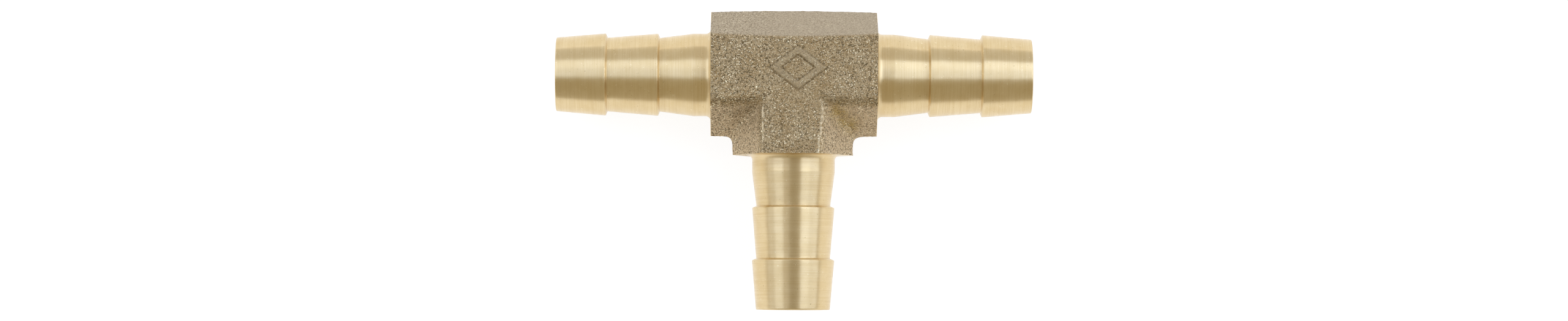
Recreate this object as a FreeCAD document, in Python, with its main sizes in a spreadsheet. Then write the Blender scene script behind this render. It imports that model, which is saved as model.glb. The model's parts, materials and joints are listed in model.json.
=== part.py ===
"""Barbed hose tee, 11 mm over the barbs of all three tails, which are turned on a hexagonal brass forging.

Frame, in millimetres: +X along the run, -Y along the branch, +Z up. The origin is where the axes of
the run and the branch cross. The tee lies flat, on the lower flat of its hexagon.
"""
import FreeCAD, Part
import os

import Sketcher

DRIVING = [
    ("hex_flats", 14.35, "across the flats of the hexagon, the same along run and branch"),
    ("body_half", 11.1, "axis of the branch to each end face of the forging"),
    ("body_drop", 10.7, "axis of the run to the end face of the branch"),
    ("parting_land", 0.16, "height of the trimmed land along the parting line"),
    ("ridge_round", 0.5, "radius of the long edges beside the flats"),
    ("valley_round", 1.2, "radius of the valleys between run and branch"),
    ("bore_wide", 8.0, "diameter of the water way"),
    ("bore_break", 0.2, "chamfer at the mouth of each tail"),
    ("tail_long", 20.65, "shoulder of the forging to the end of a tail"),
    ("tail_thin", 9.86, "diameter at the tip and at the foot of each barb"),
    ("tail_thick", 11.0, "diameter over the barbs"),
    ("neck_thick", 11.04, "diameter of the plain neck beside the forging"),
    ("neck_long", 2.3, "shoulder to the end of the neck"),
    ("flare", 0.7, "radius between the neck and the shoulder"),
    ("barb_first", 7.05, "shoulder to the crest of the inner barb"),
    ("barb_pitch", 7.0, "crest to crest"),
    ("barb_ledge", 0.25, "length of the slanted ledge behind a crest"),
    ("crest_round", 0.18, "radius on the crest of a barb"),
    ("tip_round", 0.15, "radius on the outer edge of the tip"),
    ("mark_long", 7.5, "long diagonal of the lozenge on the upper flat"),
    ("mark_short", 5.8, "short diagonal of the lozenge on the upper flat"),
    ("mark_inner", 0.62, "size of the lozenge inside the raised line, as a share of the outer one"),
    ("mark_rise", 0.15, "height of the raised line"),
    ("mark_right", 0.5, "centre of the lozenge, towards the right tail"),
    ("mark_back", 0.6, "centre of the lozenge, away from the branch"),
]

ACROSS_HALF = "dims.hex_flats / 2"
FLAT_HALF = "dims.hex_flats / 2 * tan(30)"
LAND_TOP = "dims.parting_land / 2"
LAND_OUT = "dims.hex_flats / 2 / cos(30) - dims.parting_land / 2 * tan(30)"
BORE_RADIUS = "dims.bore_wide / 2"
NECK_RADIUS = "dims.neck_thick / 2"
THICK_RADIUS = "dims.tail_thick / 2"
THIN_RADIUS = "dims.tail_thin / 2"
INNER_CREST = "dims.barb_first"
OUTER_CREST = "dims.barb_first + dims.barb_pitch"

TOUCH = 0.001


def build_sheet(doc):
    """Puts the driving dimensions into a spreadsheet, one aliased cell each."""
    sheet = doc.addObject("Spreadsheet::Sheet", "dims")
    for row, (alias, value, meaning) in enumerate(DRIVING, start=1):
        sheet.set(f"A{row}", alias)
        sheet.set(f"B{row}", str(value))
        sheet.set(f"C{row}", meaning)
        sheet.setAlias(f"B{row}", alias)
    doc.recompute()


def number(owner, formula):
    """Value of a formula on the sheet, as a plain number."""
    value = owner.evalExpression(formula)
    return float(getattr(value, "Value", value))


def plane_of(body, role):
    """Finds one of the body's own origin planes or axes."""
    return next(item for item in body.Origin.OriginFeatures if item.Role == role)


def new_sketch(body, role, name):
    """Starts a sketch on one of the body's origin planes."""
    sketch = body.newObject("Sketcher::SketchObject", name)
    sketch.AttachmentSupport = [(plane_of(body, role), "")]
    sketch.MapMode = "FlatFace"
    body.Document.recompute()
    return sketch


def bind(sketch, kind, *place, formula):
    """Adds a dimension to the sketch and ties it to a formula on the sheet."""
    index = sketch.addConstraint(Sketcher.Constraint(kind, *place, number(sketch, formula)))
    sketch.setExpression(f"Constraints[{index}]", formula)


def hollow_arc(start, end, centre):
    """Quarter arc about centre that bulges towards the outline it belongs to."""
    radius = (start - centre).Length
    middle = centre + ((start + end) * 0.5 - centre).normalize() * radius
    return Part.Arc(start, middle, end)


def draw_outline(sketch, corners, arcs=None):
    """Draws a closed outline through corners, each one a pair of formulas.

    arcs maps the number of a corner to (centre formulas, radius formula), and the edge that leaves
    that corner is then an arc and not a straight line.
    """
    arcs = arcs or {}
    first = sketch.GeometryCount
    count = len(corners)
    spots = [FreeCAD.Vector(number(sketch, x), number(sketch, y), 0) for x, y in corners]
    for i, spot in enumerate(spots):
        following = spots[(i + 1) % count]
        edge = Part.LineSegment(spot, following)
        if i in arcs:
            centre = FreeCAD.Vector(*(number(sketch, value) for value in arcs[i][0]), 0)
            edge = hollow_arc(spot, following, centre)
        sketch.addGeometry(edge, False)
    heads = [start_of(sketch, first + i, spot) for i, spot in enumerate(spots)]
    for i, (x, y) in enumerate(corners):
        before = (i - 1) % count
        tail_of_before = 3 - heads[before]
        link = Sketcher.Constraint("Coincident", first + before, tail_of_before, first + i, heads[i])
        sketch.addConstraint(link)
        bind(sketch, "DistanceX", first + i, heads[i], formula=x)
        bind(sketch, "DistanceY", first + i, heads[i], formula=y)
    for i, (centre, radius) in arcs.items():
        bind(sketch, "Radius", first + i, formula=radius)


def start_of(sketch, edge, spot):
    """Says which end of an edge, 1 or 2, lies at a spot: an arc is stored anticlockwise."""
    return 1 if (sketch.getPoint(edge, 1) - spot).Length < TOUCH else 2


def draw_circle(sketch, radius):
    """Draws a circle about the sketch's origin."""
    circle = Part.Circle(FreeCAD.Vector(), FreeCAD.Vector(0, 0, 1), number(sketch, radius))
    edge = sketch.addGeometry(circle, False)
    sketch.addConstraint(Sketcher.Constraint("Coincident", edge, 3, -1, 1))
    bind(sketch, "Radius", edge, formula=radius)


def pad(body, sketch, name, length, side="One side"):
    """Extrudes a sketch."""
    feature = body.newObject("PartDesign::Pad", name)
    feature.Profile = sketch
    feature.SideType = side
    feature.setExpression("Length", length)
    body.Document.recompute()
    return feature


def drill(body, sketch, name, length, side):
    """Cuts a sketch out of the body and checks that something was cut."""
    before = body.Shape.Volume
    feature = body.newObject("PartDesign::Pocket", name)
    feature.Profile = sketch
    feature.SideType = side
    feature.Reversed = side == "One side"
    feature.setExpression("Length", length)
    body.Document.recompute()
    if body.Shape.Volume > before - 1:
        raise RuntimeError(f"{name} cut nothing")


def dress(body, kind, name, size, edges):
    """Rounds or chamfers the numbered edges of the body's shape."""
    if not edges:
        raise RuntimeError(f"{name} found no edge")
    base = body.Tip
    feature = body.newObject(f"PartDesign::{kind}", name)
    feature.Base = (base, [f"Edge{index}" for index in edges])
    feature.setExpression("Radius" if kind == "Fillet" else "Size", size)
    body.Document.recompute()


def edges_where(shape, wanted):
    """Numbers, from 1, of the edges whose middle point and direction pass a test."""
    found = []
    for index, edge in enumerate(shape.Edges, start=1):
        middle = edge.valueAt((edge.FirstParameter + edge.LastParameter) / 2)
        along = edge.tangentAt(edge.FirstParameter)
        if wanted(edge, middle, along):
            found.append(index)
    return found


def half_hexagon(body, role, name):
    """Draws the upper half of the hexagon, with a short upright land at each parting line."""
    sketch = new_sketch(body, role, name)
    corners = [
        (f"-({LAND_OUT})", "0"),
        (f"-({LAND_OUT})", LAND_TOP),
        (f"-({FLAT_HALF})", ACROSS_HALF),
        (FLAT_HALF, ACROSS_HALF),
        (LAND_OUT, LAND_TOP),
        (LAND_OUT, "0"),
    ]
    draw_outline(sketch, corners)
    return sketch


def round_forging(body):
    """Rounds the valleys first and then the ridges beside the upper flat."""
    height = number(body, ACROSS_HALF)
    flat = number(body, FLAT_HALF)
    deep = number(body, LAND_OUT)

    def is_valley(edge, middle, along):
        slanted = abs(along.x) > TOUCH and abs(along.y) > TOUCH
        upright = abs(along.z) > 1 - TOUCH and abs(abs(middle.x) - deep) < TOUCH
        return slanted or (upright and abs(middle.y + deep) < TOUCH)

    def is_ridge(edge, middle, along):
        lying = abs(middle.z - height) < TOUCH
        beside_run = abs(along.x) > 1 - TOUCH and abs(abs(middle.y) - flat) < 0.5
        beside_branch = abs(along.y) > 1 - TOUCH and abs(abs(middle.x) - flat) < 0.5
        return lying and (beside_run or beside_branch)

    dress(body, "Fillet", "valley_rounds", "dims.valley_round", edges_where(body.Shape, is_valley))
    dress(body, "Fillet", "ridge_rounds", "dims.ridge_round", edges_where(body.Shape, is_ridge))


def mirror_down(body):
    """Adds the lower half of the forging."""
    mirror = body.newObject("PartDesign::Mirrored", "lower_half")
    mirror.TransformMode = "Whole shape"
    mirror.MirrorPlane = (plane_of(body, "XY_Plane"), [""])
    body.Tip = mirror
    body.Document.recompute()


def raise_mark(body):
    """Adds a plain lozenge, a raised line with no meaning, to the upper flat."""
    sketch = new_sketch(body, "XY_Plane", "mark_outline")
    sketch.setExpression("AttachmentOffset.Base.z", ACROSS_HALF)
    for share in ("1", "dims.mark_inner"):
        wide = f"dims.mark_long / 2 * {share}"
        tall = f"dims.mark_short / 2 * {share}"
        corners = [
            (f"dims.mark_right + {wide}", "dims.mark_back"),
            ("dims.mark_right", f"dims.mark_back + {tall}"),
            (f"dims.mark_right - {wide}", "dims.mark_back"),
            ("dims.mark_right", f"dims.mark_back - {tall}"),
        ]
        draw_outline(sketch, corners)
    pad(body, sketch, "mark", "dims.mark_rise")


def build_forging(doc):
    """The forged tee body: two crossing hexagons with the water way drilled through them."""
    body = doc.addObject("PartDesign::Body", "forged_body")
    pad(body, half_hexagon(body, "YZ_Plane", "run_hexagon"), "run_half", "dims.body_half * 2", "Symmetric")
    pad(body, half_hexagon(body, "XZ_Plane", "branch_hexagon"), "branch_half", "dims.body_drop")
    round_forging(body)
    mirror_down(body)
    raise_mark(body)
    run_bore = new_sketch(body, "YZ_Plane", "run_bore_circle")
    draw_circle(run_bore, BORE_RADIUS)
    drill(body, run_bore, "run_bore", "dims.body_half * 2", "Symmetric")
    branch_bore = new_sketch(body, "XZ_Plane", "branch_bore_circle")
    draw_circle(branch_bore, BORE_RADIUS)
    drill(body, branch_bore, "branch_bore", "dims.body_drop", "One side")
    return body


def tail_profile(body):
    """Half section of one tail, drawn along +X from its shoulder."""
    sketch = new_sketch(body, "XY_Plane", "half_section")
    corners = [
        ("0", BORE_RADIUS),
        ("0", f"{NECK_RADIUS} + dims.flare"),
        ("dims.flare", NECK_RADIUS),
        ("dims.neck_long", NECK_RADIUS),
        (f"{INNER_CREST} - dims.barb_ledge", THIN_RADIUS),
        (INNER_CREST, THICK_RADIUS),
        (f"{OUTER_CREST} - dims.barb_ledge", THIN_RADIUS),
        (OUTER_CREST, THICK_RADIUS),
        ("dims.tail_long", THIN_RADIUS),
        ("dims.tail_long", BORE_RADIUS),
    ]
    flare_centre = ("dims.flare", f"{NECK_RADIUS} + dims.flare")
    draw_outline(sketch, corners, {1: (flare_centre, "dims.flare")})
    return sketch


def circles_at(shape, along, radius):
    """Edges of a tail that are circles at one distance from the shoulder, with one radius."""

    def matches(edge, middle, direction):
        if not isinstance(edge.Curve, Part.Circle):
            return False
        return abs(edge.Curve.Center.x - along) < TOUCH and abs(edge.Curve.Radius - radius) < TOUCH

    return edges_where(shape, matches)


def build_tail(doc, label, turn, offset):
    """One turned tail, placed with its shoulder against an end face of the forging.

    turn is the angle about Z from +X to the tail's direction, and offset gives the formulas of the
    centre of its shoulder.
    """
    body = doc.addObject("PartDesign::Body", label)
    turned = body.newObject("PartDesign::Revolution", "turned")
    turned.Profile = tail_profile(body)
    turned.ReferenceAxis = (plane_of(body, "X_Axis"), [""])
    turned.Angle = 360
    body.Tip = turned
    doc.recompute()
    tip = number(body, "dims.tail_long")
    thick = number(body, THICK_RADIUS)
    crests = [circles_at(body.Shape, number(body, where), thick) for where in (INNER_CREST, OUTER_CREST)]
    dress(body, "Fillet", "crest_rounds", "dims.crest_round", sum(crests, []))
    tip_edge = circles_at(body.Shape, tip, number(body, THIN_RADIUS))
    dress(body, "Fillet", "tip_round", "dims.tip_round", tip_edge)
    mouth = circles_at(body.Shape, tip, number(body, BORE_RADIUS))
    dress(body, "Chamfer", "bore_break", "dims.bore_break", mouth)
    body.Placement.Rotation = FreeCAD.Rotation(FreeCAD.Vector(0, 0, 1), turn)
    for axis, formula in zip("xy", offset):
        body.setExpression(f"Placement.Base.{axis}", formula)
    doc.recompute()
    return body


def check(doc, bodies):
    """Stops if any feature failed or any sub-part is not one sound solid."""
    for item in doc.Objects:
        if "Invalid" in item.State or "Error" in item.State:
            raise RuntimeError(f"{item.Label} failed: {item.State}")
    for body in bodies:
        shape = body.Shape
        if shape.isNull() or not shape.isValid() or len(shape.Solids) != 1:
            raise RuntimeError(f"{body.Label} is not one valid solid")


def main():
    doc = FreeCAD.newDocument("barbed_tee")
    build_sheet(doc)
    bodies = [
        build_forging(doc),
        build_tail(doc, "run_tail_left", 180, ("-dims.body_half", "0")),
        build_tail(doc, "run_tail_right", 0, ("dims.body_half", "0")),
        build_tail(doc, "branch_tail", -90, ("0", "-dims.body_drop")),
    ]
    doc.recompute()
    check(doc, bodies)
    os.makedirs("parts", exist_ok=True)
    for body in bodies:
        body.Shape.exportStep(f"parts/{body.Label}.step")
        box = body.Shape.BoundBox
        print(f"{body.Label}: volume {body.Shape.Volume:.1f}, x {box.XMin:.2f} to {box.XMax:.2f}, "
              f"y {box.YMin:.2f} to {box.YMax:.2f}, z {box.ZMin:.2f} to {box.ZMax:.2f}")


main()
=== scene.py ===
"""Barbed brass hose tee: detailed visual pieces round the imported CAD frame, lit as on a light table.

Lengths are worked out in millimetres, in the row's frame, and become metres when a mesh is made.
"""
import json
import math

import bmesh
import bpy
import numpy as np
from mathutils import Matrix, Vector, noise


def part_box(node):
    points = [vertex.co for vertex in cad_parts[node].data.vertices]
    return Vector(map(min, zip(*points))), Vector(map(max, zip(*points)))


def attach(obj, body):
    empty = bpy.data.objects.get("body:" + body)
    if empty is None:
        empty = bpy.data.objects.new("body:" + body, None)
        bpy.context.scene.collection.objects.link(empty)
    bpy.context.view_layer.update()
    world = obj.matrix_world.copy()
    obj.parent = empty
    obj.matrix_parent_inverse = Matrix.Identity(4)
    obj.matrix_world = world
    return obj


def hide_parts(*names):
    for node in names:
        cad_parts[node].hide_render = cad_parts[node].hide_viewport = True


MM = 0.001

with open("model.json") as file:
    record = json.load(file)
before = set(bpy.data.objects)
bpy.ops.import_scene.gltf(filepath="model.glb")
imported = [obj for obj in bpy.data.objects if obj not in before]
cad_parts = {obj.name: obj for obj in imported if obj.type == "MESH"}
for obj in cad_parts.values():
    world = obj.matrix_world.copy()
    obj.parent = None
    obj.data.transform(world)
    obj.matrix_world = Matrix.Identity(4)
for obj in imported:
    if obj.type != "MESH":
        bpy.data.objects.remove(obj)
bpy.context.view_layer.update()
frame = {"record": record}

# Sizes read from the frame.
BODY_LOW, BODY_HIGH = (np.array(corner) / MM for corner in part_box("forged_body"))
TAIL_LOW, TAIL_HIGH = (np.array(corner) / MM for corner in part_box("run_tail_right"))
MOUNTS = {mount["name"]: mount for mount in frame["record"]["mounts"]}
RUN_FACE = float(BODY_HIGH[0])
BRANCH_FACE = -float(BODY_LOW[1])
FLAT = -float(BODY_LOW[2])
TAIL_LONG = float(TAIL_HIGH[0] - TAIL_LOW[0])
BORE = MOUNTS["run_bore"]["dims"]["r_mm"]
NECK = MOUNTS["right_hose_neck"]["dims"]["r_mm"]
FLARE = float(TAIL_HIGH[1]) - NECK

# The forging.
COS30 = math.cos(math.radians(30))
VERTEX = FLAT / COS30
RIDGE = VERTEX / 2
SKIN_VOXEL = 0.125     # size of a cell of the skin
CROWN = 0.2            # how far the run's vertices bulge midway along it
BACK_EXTRA = 0.3       # how much further out the back vertex stands
BACK_RIDGE = 0.85      # how much further out the back ridge runs
LEFT_SHORT = 0.05      # how much nearer the middle the branch's left vertex stands
RIGHT_SHORT = 0.3      # and its right vertex
RIDGE_BOW = 0.35       # how far the run's ridges bow inwards
LAND = 0.06            # depth of the flat trimmed on a vertex
LAND_ROUND = 0.05      # blend at the edges of that flat
RUN_ROUND = 1.0        # blend over the run's ridges
BRANCH_ROUND = 0.3     # blend over the branch's ridges
BACK_SHARPER = 0.6     # how far the back ridge's blend goes from the run's to the branch's
VALLEY_TOP = 0.6       # blend between run and branch at the flat
VALLEY_FOOT = 1.2      # and at the vertices
BRANCH_STARTS = (-3, -1)   # y between which the branch's flanks are taken away inside the run
FAR_AWAY = 30.0        # distance that takes them away
FLANK_FADE = (1.3, 0.25)   # depths under the flat between which the flanks' painted lighter tone and their grain fade out
PARTING_HALF = 0.25    # half width of the trimmed parting line
FLOOR_GAP = 0.05       # room under the lower flat for the lumps of the skin
MARK_CENTRE = (0.5, 0.6)
MARK_HALF = (3.75, 2.9)
MARK_INNER = 0.62      # inner edge of the lozenge, as a share of its outer edge
MARK_RISE = 0.15       # height of the lozenge over the flat
MARK_GROOVES = (MARK_INNER - 0.04, 1.04)   # where the lozenge's two edge grooves run, and the shade painted in them, as such shares
GROOVE_DEPTH = 0.07    # depth of those lines

# The tails, measured from the shoulder.
THIN = 4.93            # radius at the foot of a barb's ledge and at the tip
THICK = 5.5            # radius over a barb's crest
NECK_END = 2.3
CREST_INNER = 7.05
CREST_OUTER = 14.05
LEDGE = 0.25           # length of the steep ledge behind a crest
SWEEP = 1.2            # roundings: from the neck into the first taper,
FOOT_ROUND = 0.06      # at the foot of a ledge,
CREST_ROUND = 0.15     # and over a crest and the tip
BEVEL = 0.2            # broken edge at the mouth of the bore
TURNS = 192            # facets round a tail


# ---------------------------------------------------------------- mesh helpers

def new_piece(name, points, faces, materials):
    """Makes an object from points in millimetres."""
    mesh = bpy.data.meshes.new(name)
    mesh.from_pydata([tuple(point) for point in np.asarray(points) * MM], [], faces)
    for material in materials:
        mesh.materials.append(material)
    piece = bpy.data.objects.new(name, mesh)
    bpy.context.scene.collection.objects.link(piece)
    return piece


def apply_modifiers(piece):
    """Applies every modifier of a piece to its mesh."""
    depsgraph = bpy.context.evaluated_depsgraph_get()
    done = bpy.data.meshes.new_from_object(piece.evaluated_get(depsgraph), depsgraph=depsgraph)
    piece.modifiers.clear()
    piece.data = done


def shade(piece, degrees):
    """Shades a piece smooth, but for edges sharper than an angle."""
    piece.data.polygons.foreach_set("use_smooth", [True] * len(piece.data.polygons))
    piece.data.set_sharp_from_angle(angle=math.radians(degrees))


def points_of(piece):
    """Vertices of a piece in millimetres."""
    flat = np.empty(len(piece.data.vertices) * 3)
    piece.data.vertices.foreach_get("co", flat)
    return flat.reshape(-1, 3) / MM


def soft_min(a, b, width):
    """The smaller of two distances, blended where they differ by less than a width."""
    share = np.clip(0.5 + 0.5 * (b - a) / width, 0, 1)
    return b * (1 - share) + a * share - width * share * (1 - share)


def soft_max(a, b, width):
    """The larger of two distances, blended likewise."""
    return -soft_min(-a, -b, width)


def ease(value, start, end):
    """Goes smoothly from 0 at start to 1 at end."""
    t = np.clip((value - start) / (end - start), 0, 1)
    return t * t * (3 - 2 * t)


def band(value, centre, width):
    """1 at a centre, fading to 0 about two widths away."""
    return np.exp(-((value - centre) / width) ** 2)


def grain(points, scale, seed):
    """Smooth noise from -1 to 1 at points, scale being cells per millimetre."""
    shift = Vector((seed * 17.3, seed * 7.1, seed * 3.7))
    return np.array([noise.noise(Vector(point) * scale + shift) for point in points])


# ---------------------------------------------------------------- the forging

def slope(side, vertex, ridge, height):
    """Distance outside a sloping flank that falls from its ridge at the flat to its vertex at z = 0."""
    return (side - vertex + height * (vertex - ridge) / FLAT) * COS30


def midway(x):
    """1 halfway along the run, falling to 0 at its two end faces."""
    return 1 - np.clip(x / RUN_FACE, -1, 1) ** 2


def run_ridge(x, y):
    """Where the ridges along the run's flat lie: bowed inwards, the back one farther out."""
    return RIDGE + np.where(y > 0, BACK_RIDGE, 0) - RIDGE_BOW * midway(x)


def branch_ridge(x, y):
    """Where the ridges beside the branch's flat lie: the right one drifts inwards towards the tail."""
    along = ease(-y, RIDGE, BRANCH_FACE)
    return np.where(x > 0, RIDGE - 0.3 - 0.5 * along, RIDGE + 0.1)


def mark_reach(x, y):
    """0 at the lozenge's centre and 1 on its outer edge."""
    return np.abs(x - MARK_CENTRE[0]) / MARK_HALF[0] + np.abs(y - MARK_CENTRE[1]) / MARK_HALF[1]


def on_mark(reach, soft):
    """1 on the lozenge's band and 0 beside it, with edges of a softness."""
    return ease(reach, MARK_INNER - soft, MARK_INNER + soft) * (1 - ease(reach, 1 - soft, 1 + soft))


def mark_height(x, y):
    """Height of the raised lozenge, with a fine groove along both of its edges."""
    reach = mark_reach(x, y)
    grooves = sum(band(reach, edge, 0.035) for edge in MARK_GROOVES)
    return MARK_RISE * on_mark(reach, 0.03) - GROOVE_DEPTH * grooves


def forging_distance(points):
    """Signed distance, in millimetres, from the forging's skin, without its machined cuts."""
    x, y, z = points.T
    tall = np.abs(z)
    run_vertex = VERTEX + CROWN * (midway(x) - 0.4) + np.where(y > 0, BACK_EXTRA, 0)
    run = slope(np.abs(y), run_vertex, run_ridge(x, y), tall)
    run = soft_max(run, np.abs(y) - run_vertex + LAND, LAND_ROUND)
    branch_vertex = VERTEX - np.where(x > 0, RIGHT_SHORT, LEFT_SHORT)
    branch = slope(np.abs(x), branch_vertex, branch_ridge(x, y), tall)
    branch = soft_max(branch, np.abs(x) - branch_vertex + LAND, LAND_ROUND)
    branch = branch + FAR_AWAY * ease(y, *BRANCH_STARTS)
    corner = ease(np.minimum(np.abs(x), np.abs(y)), RIDGE, VERTEX)
    flanks = soft_min(run, branch, VALLEY_TOP + (VALLEY_FOOT - VALLEY_TOP) * corner)
    beside_branch = ease(-y - np.abs(x), -0.3, 0.6)
    sharper = np.maximum(beside_branch, ease(y, 1, 2) * BACK_SHARPER)
    rounding = RUN_ROUND + (BRANCH_ROUND - RUN_ROUND) * sharper
    flat = tall - FLAT - np.where(z > 0, mark_height(x, y), 0)
    return soft_max(flat, flanks, rounding)


def gradient(points):
    """Direction in which the distance from the forging grows."""
    step = 0.01
    columns = []
    for axis in np.eye(3):
        ahead = forging_distance(points + axis * step)
        behind = forging_distance(points - axis * step)
        columns.append((ahead - behind) / (2 * step))
    return np.stack(columns, axis=1)


def settle(points, rounds=6):
    """Moves points onto the forging's skin."""
    for _ in range(rounds):
        slope_there = gradient(points)
        steep = np.maximum((slope_there ** 2).sum(axis=1), 0.05)
        points = points - slope_there * (forging_distance(points) / steep)[:, None]
    return points


def prism(axis, low, high):
    """Corners and faces of a hexagonal bar along X or Y, its flats at the top and the bottom."""
    ring = [(VERTEX * math.cos(math.radians(60 * i)), VERTEX * math.sin(math.radians(60 * i)))
            for i in range(6)]
    place = (lambda u, a, b: (u, a, b)) if axis == "X" else (lambda u, a, b: (a, u, b))
    points = [place(u, a, b) for u in (low, high) for a, b in ring]
    faces = [(i, (i + 1) % 6, (i + 1) % 6 + 6, i + 6) for i in range(6)]
    return points, faces + [tuple(range(6)), tuple(range(6, 12))]


def rough_forging():
    """Both bars as one evenly meshed skin, in millimetres, a little longer than the machined body."""
    mesh = bmesh.new()
    for axis, low, high in (("X", -RUN_FACE - 0.8, RUN_FACE + 0.8), ("Y", -BRANCH_FACE - 0.8, 0)):
        points, faces = prism(axis, low, high)
        corners = [mesh.verts.new(point) for point in points]
        for face in faces:
            mesh.faces.new([corners[i] for i in face])
    bmesh.ops.recalc_face_normals(mesh, faces=mesh.faces)
    data = bpy.data.meshes.new("rough_forging")
    mesh.to_mesh(data)
    mesh.free()
    rough = bpy.data.objects.new("rough_forging", data)
    bpy.context.scene.collection.objects.link(rough)
    remesh = rough.modifiers.new("even", "REMESH")
    remesh.mode = "VOXEL"
    remesh.voxel_size = SKIN_VOXEL
    apply_modifiers(rough)
    return rough


def machine_faces(data):
    """Cuts the three end faces square, as a lathe does, and closes them."""
    mesh = bmesh.new()
    mesh.from_mesh(data)
    cuts = (
        ((RUN_FACE, 0, 0), (1, 0, 0)),
        ((-RUN_FACE, 0, 0), (-1, 0, 0)),
        ((0, -BRANCH_FACE, 0), (0, -1, 0)),
    )
    for place, outward in cuts:
        geometry = list(mesh.verts) + list(mesh.edges) + list(mesh.faces)
        cut = bmesh.ops.bisect_plane(mesh, geom=geometry, plane_co=place, plane_no=outward, clear_outer=True)
        rim = [item for item in cut["geom_cut"] if isinstance(item, bmesh.types.BMEdge)]
        bmesh.ops.edgeloop_fill(mesh, edges=rim)
    bmesh.ops.recalc_face_normals(mesh, faces=mesh.faces)
    mesh.to_mesh(data)
    mesh.free()


def bar(axis, low, high, sides=96):
    """A round bar as thick as the bore, to cut it with."""
    place = (lambda u, a, b: (u, a, b)) if axis == "X" else (lambda u, a, b: (a, u, b))
    ring = [(BORE * math.cos(math.tau * i / sides), BORE * math.sin(math.tau * i / sides))
            for i in range(sides)]
    points = [place(u, a, b) for u in (low, high) for a, b in ring]
    faces = [(i, (i + 1) % sides, (i + 1) % sides + sides, i + sides) for i in range(sides)]
    piece = new_piece("bar", points, faces + [tuple(range(sides)), tuple(range(sides, 2 * sides))], [])
    mesh = bmesh.new()
    mesh.from_mesh(piece.data)
    bmesh.ops.recalc_face_normals(mesh, faces=mesh.faces)
    mesh.to_mesh(piece.data)
    mesh.free()
    return piece


def drill(piece, axis, low, high):
    """Cuts a bore through a piece."""
    cutter = bar(axis, low, high)
    cut = piece.modifiers.new("bore", "BOOLEAN")
    cut.operation = "DIFFERENCE"
    cut.solver = "EXACT"
    cut.object = cutter
    apply_modifiers(piece)
    bpy.data.objects.remove(cutter)


def store(piece, name, values):
    """Keeps one value per vertex for a material to read."""
    layer = piece.data.attributes.new(name, "FLOAT", "POINT")
    layer.data.foreach_set("value", values.astype(np.float32))


def burr_highlights_at(points):
    """Painted highlight where light catches the trimmed flash on the branch's ridges: a thin broken line on
    the left, a ragged strip on the right.
    """
    x, y, z = points.T
    off_ridge = np.abs(x) - branch_ridge(x, y) + 0.08 + 0.08 * grain(points, 0.9, 5)
    broken = 0.25 + 0.75 * ease(grain(points * (0, 1, 0), 1.4, 8), -0.25, 0.1)
    ragged = ease(grain(points, 2.9, 9), -0.05, 0.3)
    strip = ease(off_ridge, -0.1, 0.1) * (1 - ease(off_ridge, 0.4, 0.8)) * ragged * 0.8
    right = np.maximum(band(off_ridge, 0, 0.11) * (0.4 + 0.6 * ragged), strip)
    second = band(x, 5.7, 0.1) * ease(-y, 7.8, 8.6) * 0.5
    burr_highlight = np.where(x > 0, np.maximum(right, second), band(off_ridge, 0, 0.09) * broken)
    on_branch = ease(-y, RIDGE + 0.2, RIDGE + 0.6)
    return burr_highlight * on_branch * ease(np.abs(z), FLAT - 1.2, FLAT - 0.6)


def stains_at(points):
    """Brown scale left in the valleys, a brown band just inside the back ridge, and a golden streak in the
    right valley.
    """
    x, y = points.T[:2]
    patchy = ease(grain(points, 0.8, 11), -0.35, 0.25)
    ledge = band(y, 0.25 - run_ridge(x, y), 0.35) * ease(np.abs(x), 4, 5.5) * (y < 0)
    left_pool = np.exp(-((x + 6.2) / 2.4) ** 2 - ((y + 5.4) / 1.3) ** 2)
    # a brown band just inside the back ridge
    behind = band(y, run_ridge(x, y) - 0.35, 0.3) * (y > 0)
    brown = np.maximum(ledge * np.where(x < 0, 1.0, 0.6), left_pool)
    brown = np.maximum(brown, behind * 0.6) * (0.35 + 0.65 * patchy)
    along = ((x - 5.2) + (-y - 4.5)) / math.sqrt(2)
    beside = ((x - 5.2) - (-y - 4.5)) / math.sqrt(2)
    gold = band(beside, 0, 1.0) * ease(along, -0.6, 0.6) * (1 - ease(along, 3.2, 5.0)) * (x > 0)
    return brown, gold * (0.5 + 0.5 * patchy)


def on_flank(z):
    """1 on the sloping flanks, falling to 0 on the flats."""
    return 1 - ease(np.abs(z), FLAT - FLANK_FADE[0], FLAT - FLANK_FADE[1])


def coarseness(points):
    """How strongly the blasted grain, and the glints painted over it as highlights, show on each face of the
    forging.
    """
    x, y, z = points.T
    flank = on_flank(z)
    on_branch = ease(-y - np.abs(x), -0.3, 0.3)
    back = ease(y - run_ridge(x, y), -0.05, 0.3)
    lower = np.where(x < 0, 1.1, 0.75) * (1 - on_branch) + 0.85 * on_branch
    on_flat = 0.8 + 0.2 * ease(np.hypot(x - 1.5, y + 1.5), 2.5, 6) + 0.12 * ease(-x, 2, 6)
    upper = 0.36 + 0.3 * (1 - ease(x, -7, -1))
    return (on_flat * (1 - flank) + lower * flank) * (1 - back) + upper * back


def paint_masks(piece):
    """Stores where the forging is scraped, smooth, stained or marked, for its material, with the painted
    light on it: highlights on the scraped burrs, shade in the mark's grooves and a lighter tone on the flanks
    and back slope.
    """
    points = points_of(piece)
    x, y, z = points.T
    front = z > 0
    reach = mark_reach(x, y)
    # painted shade along the mark's two edge grooves
    lines = sum(band(reach, edge, 0.03) for edge in MARK_GROOVES) * front
    brown, gold = stains_at(points)
    # painted highlight on the burrs along the branch's ridges
    store(piece, "burr_highlight", burr_highlights_at(points))
    store(piece, "mark", on_mark(reach, 0.02) * front)
    store(piece, "mark_groove_shade", lines)
    # where the back slope gets its painted lighter tone
    store(piece, "slope", ease(y - run_ridge(x, y), -0.05, 0.3))
    store(piece, "stain", brown)
    store(piece, "gold", gold)
    # where the flanks get their painted lighter tone, a little lighter beside the branch
    store(piece, "flank", on_flank(z))
    store(piece, "beside_branch", ease(-y - np.abs(x), -0.3, 0.3))
    store(piece, "coarse", coarseness(points))


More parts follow.
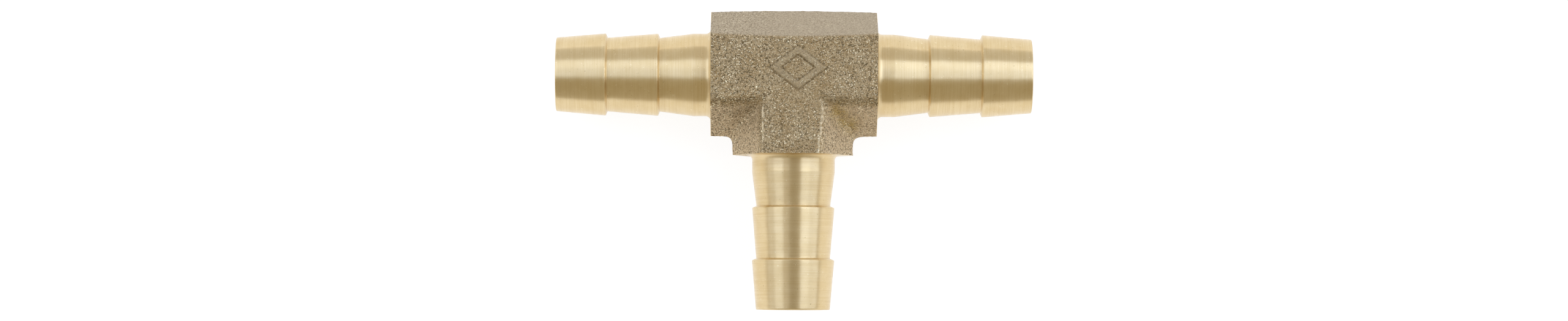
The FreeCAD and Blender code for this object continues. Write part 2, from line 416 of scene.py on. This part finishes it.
def assign_faces(piece):
    """Gives the machined end faces and the bores their own materials."""
    count = len(piece.data.polygons)
    centres = np.empty(count * 3)
    piece.data.polygons.foreach_get("center", centres)
    x, y, z = centres.reshape(-1, 3).T / MM
    slots = np.zeros(count, dtype=np.int32)
    near = 0.02
    slots[np.abs(np.abs(x) - RUN_FACE) < near] = 1
    slots[np.abs(y + BRANCH_FACE) < near] = 2
    in_run = np.hypot(y, z) < BORE + near
    in_branch = (np.hypot(x, z) < BORE + near) & (y < 0)
    slots[in_run | in_branch] = 3
    piece.data.polygons.foreach_set("material_index", slots)


def build_forging(materials):
    """The forged tee body, with its rounded ridges, webbed valleys, trimmed parting line and mark."""
    rough = rough_forging()
    flat = np.empty(len(rough.data.vertices) * 3)
    rough.data.vertices.foreach_get("co", flat)
    points = settle(flat.reshape(-1, 3))
    outward = gradient(points)
    outward /= np.linalg.norm(outward, axis=1)[:, None]
    lumps = (0.030 * grain(points, 0.45, 1) + 0.016 * grain(points, 1.3, 2)
             + 0.012 * grain(points, 3.1, 3))
    parting = band(points[:, 2], 0, PARTING_HALF)
    level = points * (1, 1, 0)
    trimmed = 0.05 * grain(level, 1.1, 4) + 0.03 * grain(level, 3.0, 6)
    points = points + outward * (lumps + parting * trimmed)[:, None]
    rough.data.vertices.foreach_set("co", points.ravel())
    machine_faces(rough.data)
    piece = new_piece("forging", [], [], [])
    piece.data = rough.data
    bpy.data.objects.remove(rough)
    piece.data.transform(Matrix.Scale(MM, 4))
    drill(piece, "X", -RUN_FACE - 2, RUN_FACE + 2)
    drill(piece, "Y", -BRANCH_FACE - 2, 0)
    piece.data.materials.clear()
    for material in materials:
        piece.data.materials.append(material)
    assign_faces(piece)
    paint_masks(piece)
    shade(piece, 40)
    return piece


# ---------------------------------------------------------------- the tails

def rounded_path(corners, steps=6):
    """Points along straight runs whose corners, (u, r, radius), are rounded by arcs."""
    path = []
    count = len(corners)
    for i, (u, r, radius) in enumerate(corners):
        here = Vector((u, r))
        if not radius:
            path.append(here)
            continue
        back = (Vector(corners[i - 1][:2]) - here).normalized()
        ahead = (Vector(corners[(i + 1) % count][:2]) - here).normalized()
        half = back.angle(ahead) / 2
        centre = here + (back + ahead).normalized() * radius / math.sin(half)
        start = here + back * radius / math.tan(half) - centre
        end = here + ahead * radius / math.tan(half) - centre
        turn = start.angle_signed(end)
        for k in range(steps + 1):
            path.append(centre + Matrix.Rotation(-turn * k / steps, 2) @ start)
    return path


def fill_in(path, longest=0.3):
    """Divides the long straight runs of a closed path."""
    filled = []
    for here, following in zip(path, path[1:] + path[:1]):
        parts = max(1, math.ceil((following - here).length / longest))
        filled.extend(here.lerp(following, k / parts) for k in range(parts))
    return filled


def tail_section():
    """Half section of a tail: flare, neck, two barbs, tip and bore."""
    corners = [
        (0, NECK + FLARE, 0),
        (0, NECK, FLARE),
        (NECK_END, NECK, SWEEP),
        (CREST_INNER - LEDGE, THIN, FOOT_ROUND),
        (CREST_INNER, THICK, CREST_ROUND),
        (CREST_OUTER - LEDGE, THIN, FOOT_ROUND),
        (CREST_OUTER, THICK, CREST_ROUND),
        (TAIL_LONG, THIN, CREST_ROUND),
        (TAIL_LONG, BORE + BEVEL, 0.03),
        (TAIL_LONG - BEVEL, BORE, 0.05),
        (0, BORE, 0),
    ]
    return fill_in(rounded_path(corners))


def build_tail(name, heading, shoulder, seed, materials):
    """Turns a tail's section round its axis, which leaves the shoulder towards heading."""
    section = tail_section()
    along = Vector(heading)
    across = Vector((0, 0, 1)).cross(along)
    points = []
    for turn in range(TURNS):
        angle = math.tau * turn / TURNS
        outward = across * math.cos(angle) + Vector((0, 0, 1)) * math.sin(angle)
        for u, r in section:
            wobble = 0.0
            if r > BORE + 0.3 and u > NECK_END:
                wobble = 0.012 * noise.noise(outward * 2.2 + along * (u * 1.1 + seed * 9))
            points.append(Vector(shoulder) + along * u + outward * (r + wobble))
    size = len(section)
    faces = []
    for turn in range(TURNS):
        here = turn * size
        beside = (turn + 1) % TURNS * size
        for k in range(size):
            onward = (k + 1) % size
            faces.append((here + k, here + onward, beside + onward, beside + k))
    piece = new_piece(name, points, faces, materials)
    mesh = bmesh.new()
    mesh.from_mesh(piece.data)
    bmesh.ops.recalc_face_normals(mesh, faces=mesh.faces)
    mesh.to_mesh(piece.data)
    mesh.free()
    bore_faces(piece, along, Vector(shoulder))
    shade(piece, 50)
    return piece


def bore_faces(piece, along, shoulder):
    """Gives the wall of the bore its own material."""
    for face in piece.data.polygons:
        offset = face.center / MM - shoulder
        u = offset.dot(along)
        radius = (offset - along * u).length
        face.material_index = 1 if radius < BORE + 0.02 and u < TAIL_LONG - 0.1 else 0


# ---------------------------------------------------------------- material helpers

def add(tree, kind, inputs=None, **settings):
    """Adds a node, sets its properties, and links or sets its inputs."""
    made = tree.nodes.new(kind)
    for key, value in settings.items():
        setattr(made, key, value)
    for key, value in (inputs or {}).items():
        if isinstance(value, bpy.types.NodeSocket):
            tree.links.new(value, made.inputs[key])
        else:
            made.inputs[key].default_value = value
    return made


def millimetres(tree, stretch=(1, 1, 1)):
    """Object coordinates in millimetres, stretched for a directional pattern."""
    place = add(tree, "ShaderNodeTexCoord").outputs["Object"]
    scale = [value / MM for value in stretch]
    return add(tree, "ShaderNodeMapping", {"Vector": place, "Scale": scale}).outputs["Vector"]


def noise_of(tree, vector, scale, detail=2.0, roughness=0.5, distortion=0.0):
    """Noise from 0 to 1."""
    values = {"Vector": vector, "Scale": scale, "Detail": detail, "Roughness": roughness,
              "Distortion": distortion}
    return add(tree, "ShaderNodeTexNoise", values).outputs["Fac"]


def remap(tree, value, low, high, to_low=0.0, to_high=1.0):
    """Goes smoothly from one value to another while its input goes from low to high."""
    values = {"Value": value, "From Min": low, "From Max": high, "To Min": to_low, "To Max": to_high}
    return add(tree, "ShaderNodeMapRange", values, interpolation_type="SMOOTHSTEP").outputs["Result"]


def calc(tree, operation, a, b=0.0):
    """One step of arithmetic."""
    return add(tree, "ShaderNodeMath", {0: a, 1: b}, operation=operation).outputs[0]


def mix(tree, share, a, b):
    """Blends two colours."""
    colours = {6: a, 7: b}
    for key, value in colours.items():
        if isinstance(value, tuple):
            colours[key] = (*value, 1.0)[:4]
    return add(tree, "ShaderNodeMix", {0: share, **colours}, data_type="RGBA").outputs[2]


def attribute(tree, name):
    """A value that was stored on the vertices."""
    return add(tree, "ShaderNodeAttribute", attribute_name=name).outputs["Fac"]


def start_material(name):
    """A material with an empty node tree, and that tree."""
    material = bpy.data.materials.new(name)
    material.use_nodes = True
    tree = material.node_tree
    tree.nodes.clear()
    return material, tree


def finish_material(tree, **inputs):
    """Adds the Principled shader and the output."""
    named = {key.replace("_", " "): value for key, value in inputs.items()}
    for key, value in named.items():
        if isinstance(value, tuple) and len(value) == 3:
            named[key] = (*value, 1.0)
    shader = add(tree, "ShaderNodeBsdfPrincipled", named)
    add(tree, "ShaderNodeOutputMaterial", {"Surface": shader.outputs["BSDF"]})


def bump(tree, height, depth):
    """Raises the surface by a height from 0 to 1, depth being in millimetres."""
    values = {"Height": height, "Distance": depth * MM, "Strength": 1.0}
    return add(tree, "ShaderNodeBump", values).outputs["Normal"]


# ---------------------------------------------------------------- materials

def forged_skin():
    """Shot-blasted forging skin: dull grey-brown brass, pitted, with brown stains; pale glints are painted in
    as highlights, the flanks and back slope get a painted lighter tone, and the mark's grooves get painted
    shade.
    """
    material, tree = start_material("forged_skin")
    place = millimetres(tree)
    coarse = attribute(tree, "coarse")
    pits = noise_of(tree, place, 4.0, detail=3, roughness=0.7)
    fine = noise_of(tree, place, 7.5, detail=2, roughness=0.6)
    patches = noise_of(tree, place, 0.42, detail=3)
    sparkle = noise_of(tree, place, 5.4, detail=2, roughness=0.75, distortion=0.5)
    clusters = remap(tree, noise_of(tree, place, 0.75, detail=2), 0.35, 0.6, 0.5, 1.0)
    # painted highlights: pale glints where the blasted grain would catch the light, thicker in clusters and
    # where the grain is coarse
    painted_glint = calc(tree, "MULTIPLY", remap(tree, sparkle, 0.57, 0.66), calc(tree, "MULTIPLY", clusters, coarse))
    base = mix(tree, remap(tree, patches, 0.3, 0.7), (0.39, 0.27, 0.125), (0.44, 0.33, 0.18))
    # painted light: the sloping flanks, a little more those beside the branch, are painted lighter than the
    # flats, as light falls on them
    flank = mix(tree, attribute(tree, "beside_branch"), (0.62, 0.475, 0.30), (0.66, 0.51, 0.32))
    base = mix(tree, calc(tree, "MULTIPLY", attribute(tree, "flank"), 0.85), base, flank)
    # painted light: the back slope gets its own tone, lighter than the flats
    base = mix(tree, attribute(tree, "slope"), base, (0.47, 0.385, 0.27))
    stained = calc(tree, "MULTIPLY", attribute(tree, "stain"), 0.8)
    base = mix(tree, stained, base, (0.25, 0.165, 0.07))
    base = mix(tree, calc(tree, "MULTIPLY", attribute(tree, "gold"), 0.75), base, (0.46, 0.31, 0.055))
    dark = calc(tree, "MULTIPLY", remap(tree, pits, 0.40, 0.53, 0.95, 0.0), coarse)
    colour = mix(tree, dark, base, (0.14, 0.095, 0.04))
    pale = calc(tree, "MULTIPLY", remap(tree, fine, 0.52, 0.70, 0.0, 0.8), coarse)
    colour = mix(tree, pale, colour, (0.70, 0.56, 0.36))
    # painted highlights: the pale glints
    colour = mix(tree, painted_glint, colour, (1.0, 0.90, 0.64))
    colour = mix(tree, calc(tree, "MULTIPLY", attribute(tree, "mark"), 0.4), colour, (0.46, 0.37, 0.23))
    # painted shade in the mark's edge grooves
    colour = mix(tree, calc(tree, "MULTIPLY", attribute(tree, "mark_groove_shade"), 0.6), colour, (0.10, 0.07, 0.03))
    # painted highlight on the burrs along the branch's ridges
    colour = mix(tree, calc(tree, "MULTIPLY", attribute(tree, "burr_highlight"), 0.85), colour, (0.90, 0.76, 0.52))
    rough = remap(tree, painted_glint, 0.0, 1.0, 0.62, 0.35)
    skin = calc(tree, "ADD", calc(tree, "MULTIPLY", pits, 0.7), calc(tree, "MULTIPLY", fine, 0.3))
    normal = bump(tree, calc(tree, "MULTIPLY", skin, remap(tree, coarse, 0.0, 1.0, 0.4, 1.0)), 0.09)
    finish_material(tree, Base_Color=colour, Metallic=0.7, Roughness=rough, Normal=normal)
    return material


TURNED_TONE = (0.80, 0.64, 0.38)
TURNED_WARM = tuple(value * share for value, share in zip(TURNED_TONE, (0.86, 0.80, 0.66)))


def turned_brass(name, axis):
    """Bright turned brass: fine rings round the axis, a few scratches, anisotropic along the axis."""
    material, tree = start_material(name)
    stretch = {"X": (1, 0.02, 0.02), "Y": (0.02, 1, 0.02)}[axis]
    rings = noise_of(tree, millimetres(tree, stretch), 7.0, detail=3, roughness=0.7)
    bands = noise_of(tree, millimetres(tree, stretch), 1.3, detail=2)
    place = millimetres(tree)
    cloud = noise_of(tree, place, 0.5, detail=3)
    specks = noise_of(tree, place, 4.2, detail=2)
    nicks = noise_of(tree, millimetres(tree, (1.2, 1.0, 0.2)), 3.4, detail=1, distortion=1.2)
    colour = mix(tree, remap(tree, cloud, 0.35, 0.7, 0.0, 0.35), TURNED_TONE, TURNED_WARM)
    colour = mix(tree, remap(tree, rings, 0.38, 0.60, 0.42, 0.0), colour, TURNED_WARM)
    colour = mix(tree, remap(tree, specks, 0.69, 0.76, 0.0, 0.6), colour, (0.42, 0.31, 0.14))
    colour = mix(tree, remap(tree, nicks, 0.71, 0.77, 0.0, 0.5), colour, (1.0, 0.90, 0.66))
    rough = remap(tree, bands, 0.3, 0.7, 0.31, 0.38)
    height = calc(tree, "ADD", rings, calc(tree, "MULTIPLY", bands, 2.0))
    normal = bump(tree, height, 0.004)
    tangent = add(tree, "ShaderNodeTangent", direction_type="RADIAL", axis=axis).outputs["Tangent"]
    finish_material(tree, Base_Color=colour, Metallic=1.0, Roughness=rough, Anisotropic=0.93,
                    Anisotropic_Rotation=0.25, Normal=normal, Tangent=tangent)
    return material


def faced_brass(name, axis):
    """A machined end face, with concentric tool marks."""
    material, tree = start_material(name)
    place = add(tree, "ShaderNodeSeparateXYZ", {"Vector": millimetres(tree)})
    first, second = {"X": ("Y", "Z"), "Y": ("X", "Z")}[axis]
    square = calc(tree, "ADD", calc(tree, "POWER", calc(tree, "ABSOLUTE", place.outputs[first]), 2.0),
                  calc(tree, "POWER", calc(tree, "ABSOLUTE", place.outputs[second]), 2.0))
    radius = calc(tree, "SQRT", square)
    rings = add(tree, "ShaderNodeTexNoise", {"W": radius, "Scale": 8.0, "Detail": 3.0},
                noise_dimensions="1D").outputs["Fac"]
    colour = mix(tree, remap(tree, rings, 0.35, 0.65, 0.3, 0.0), (0.78, 0.62, 0.36), (0.62, 0.47, 0.24))
    normal = bump(tree, rings, 0.006)
    finish_material(tree, Base_Color=colour, Metallic=1.0, Roughness=0.28, Normal=normal)
    return material


def bored_brass(name, axis):
    """The drilled water way: duller brass with coarse drill marks."""
    material, tree = start_material(name)
    stretch = {"X": (1, 0.05, 0.05), "Y": (0.05, 1, 0.05)}[axis]
    rings = noise_of(tree, millimetres(tree, stretch), 4.0, detail=2)
    colour = mix(tree, remap(tree, rings, 0.35, 0.65), (0.52, 0.37, 0.17), (0.66, 0.50, 0.27))
    normal = bump(tree, rings, 0.02)
    finish_material(tree, Base_Color=colour, Metallic=1.0, Roughness=0.38, Normal=normal)
    return material


# ---------------------------------------------------------------- stage

def build_floor():
    """A pale light table under the fitting."""
    size = 3000
    level = -FLAT - FLOOR_GAP
    points = [(-size, -size, level), (size, -size, level), (size, size, level), (-size, size, level)]
    material, tree = start_material("light_table")
    finish_material(tree, Base_Color=(0.25, 0.25, 0.25), Roughness=0.9, Emission_Color=(1.0, 1.0, 1.0),
                    Emission_Strength=0.86, Specular_IOR_Level=0.0)
    floor = new_piece("floor", points, [(0, 1, 2, 3)], [material])


def build_world():
    """Soft studio: pale behind, with a bright rim just over the horizon, and darker in front and overhead.

    Below the horizon it is white, like the light table.
    """
    world = bpy.data.worlds.new("studio")
    bpy.context.scene.world = world
    world.use_nodes = True
    tree = world.node_tree
    tree.nodes.clear()
    direction = add(tree, "ShaderNodeTexCoord").outputs["Generated"]
    parts = add(tree, "ShaderNodeSeparateXYZ", {"Vector": direction})
    back = remap(tree, parts.outputs["Y"], -0.18, -0.10)
    wall = mix(tree, remap(tree, parts.outputs["Y"], 0.2, 0.75), (0.74, 0.73, 0.72), (0.70, 0.69, 0.67))
    room = mix(tree, back, (0.46, 0.41, 0.30), wall)
    overhead = remap(tree, parts.outputs["Z"], 0.93, 0.985)
    room = mix(tree, overhead, room, (0.36, 0.34, 0.30))
    above = remap(tree, parts.outputs["Z"], 0.03, 0.14)
    colour = mix(tree, above, (1.0, 1.0, 1.0), room)
    rim = calc(tree, "MULTIPLY", remap(tree, parts.outputs["Y"], 0.3, 0.6),
               calc(tree, "MULTIPLY", remap(tree, parts.outputs["Z"], 0.0, 0.03),
                    remap(tree, parts.outputs["Z"], 0.05, 0.08, 1.0, 0.0)))
    colour = mix(tree, rim, colour, (1.5, 1.5, 1.6))
    shader = add(tree, "ShaderNodeBackground", {"Color": colour, "Strength": 1.0})
    add(tree, "ShaderNodeOutputWorld", {"Surface": shader.outputs["Background"]})


def build_softbox(name, tilt, width, radiance):
    """A cool softbox on a sphere round the fitting, a little behind it.

    tilt is its angle from straight up towards +X, and width the angle that it spans, in degrees.
    """
    reach = 450.0
    back = 0.29
    long_side = 400.0
    outward = Vector((math.sin(math.radians(tilt)), back * math.cos(math.radians(tilt)),
                      math.cos(math.radians(tilt)))).normalized()
    data = bpy.data.lights.new(name, "AREA")
    data.shape = "RECTANGLE"
    data.size = 2 * reach * math.tan(math.radians(width / 2)) * MM
    data.size_y = long_side * MM
    data.energy = radiance * math.pi * data.size * data.size_y
    data.color = (0.79, 0.96, 1.32)
    light = bpy.data.objects.new(name, data)
    side = Vector((0, 1, 0)).cross(outward).normalized()
    turn = Matrix((side, outward.cross(side), outward)).transposed()
    light.matrix_world = Matrix.Translation(outward * reach * MM) @ turn.to_4x4()
    bpy.context.scene.collection.objects.link(light)


def build_lights():
    """A bright softbox and a dimmer panel below it on each side, and one dimmer panel above the left."""
    build_softbox("left_core", -43, 28, 1.22)
    build_softbox("left_inner", -18, 14, 0.40)
    build_softbox("left_panel", -67, 20, 0.45)
    build_softbox("right_core", 33, 24, 1.65)
    build_softbox("right_panel", 60, 32, 1.0)


def build_camera():
    """Looks almost straight down, from a little towards the branch."""
    distance = 573.0
    pitch = math.radians(2.5)
    yaw = math.radians(-0.35)
    roll = math.radians(0.26)
    aim = Vector((-1.27, -11.4, 0))
    offset = Vector((math.tan(yaw), -math.tan(pitch), 1)).normalized() * distance
    up = Vector((-math.sin(roll), math.cos(roll), 0))
    back = offset.normalized()
    right = up.cross(back).normalized()
    turn = Matrix((right, back.cross(right), back)).transposed()
    data = bpy.data.cameras.new("camera")
    data.lens = 98.4
    data.clip_start = 0.01
    data.clip_end = 20
    camera = bpy.data.objects.new("camera", data)
    camera.matrix_world = Matrix.Translation((aim + offset) * MM) @ turn.to_4x4()
    bpy.context.scene.collection.objects.link(camera)
    bpy.context.scene.camera = camera


def build_object():
    """The four visual pieces, each in place of its CAD node."""
    turned = {axis: turned_brass(f"turned_{axis}", axis) for axis in "XY"}
    bored = {axis: bored_brass(f"bored_{axis}", axis) for axis in "XY"}
    skin = [forged_skin(), faced_brass("faced_X", "X"), faced_brass("faced_Y", "Y"), bored["X"]]
    forging = build_forging(skin)
    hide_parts("forged_body")
    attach(forging, "root")
    tails = (
        ("run_tail_left", (-1, 0, 0), (-RUN_FACE, 0, 0), "X"),
        ("run_tail_right", (1, 0, 0), (RUN_FACE, 0, 0), "X"),
        ("branch_tail", (0, -1, 0), (0, -BRANCH_FACE, 0), "Y"),
    )
    for seed, (node, heading, shoulder, axis) in enumerate(tails, start=1):
        tail = build_tail(f"{node}_turned", heading, shoulder, seed, [turned[axis], bored[axis]])
        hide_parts(node)
        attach(tail, "root")


build_object()
build_floor()
build_world()
build_lights()
build_camera()
bpy.context.scene.view_settings.view_transform = "Standard"
